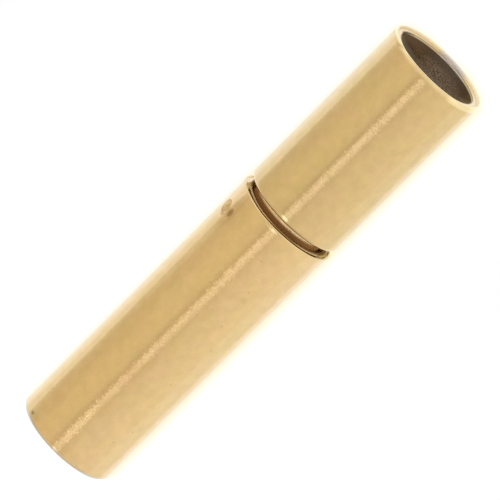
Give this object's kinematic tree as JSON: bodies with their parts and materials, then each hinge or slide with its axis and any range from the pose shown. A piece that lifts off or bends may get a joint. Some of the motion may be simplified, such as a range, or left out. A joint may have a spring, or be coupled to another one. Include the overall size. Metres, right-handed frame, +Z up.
{
  "type": "twist-lock jewellery clasp",
  "caption": "Slim gold-plated tube clasp for a glued-in round cord: a socket tube and a shorter plug tube joined by a bayonet twist lock.",
  "frame": {"origin": "on the surface the clasp lies on, below the middle of its length", "axes": "+X along the tubes towards the short plug tube's open end, +Z up"},
  "size_m": [0.0238, 0.005, 0.005],
  "materials": {
    "polished_plate": "polished gold plate on brass, with fine rubbing marks, duller and browner inside the bores",
    "pin_plate": "plated pin ends, slightly rosier than the tube"
  },
  "bodies": {
    "socket_half": {"socket_tube": "polished_plate", "lock_pin_1": "pin_plate", "lock_pin_2": "pin_plate"},
    "plug_half": {"plug_tube": "polished_plate"}
  },
  "joints": [
    {"name": "twist", "type": "hinge", "parent": "socket_half", "child": "plug_half", "pos_m": [0.0026, 0, 0.0025], "axis": [1, 0, 0], "range_deg": [0, 60]}
  ]
}
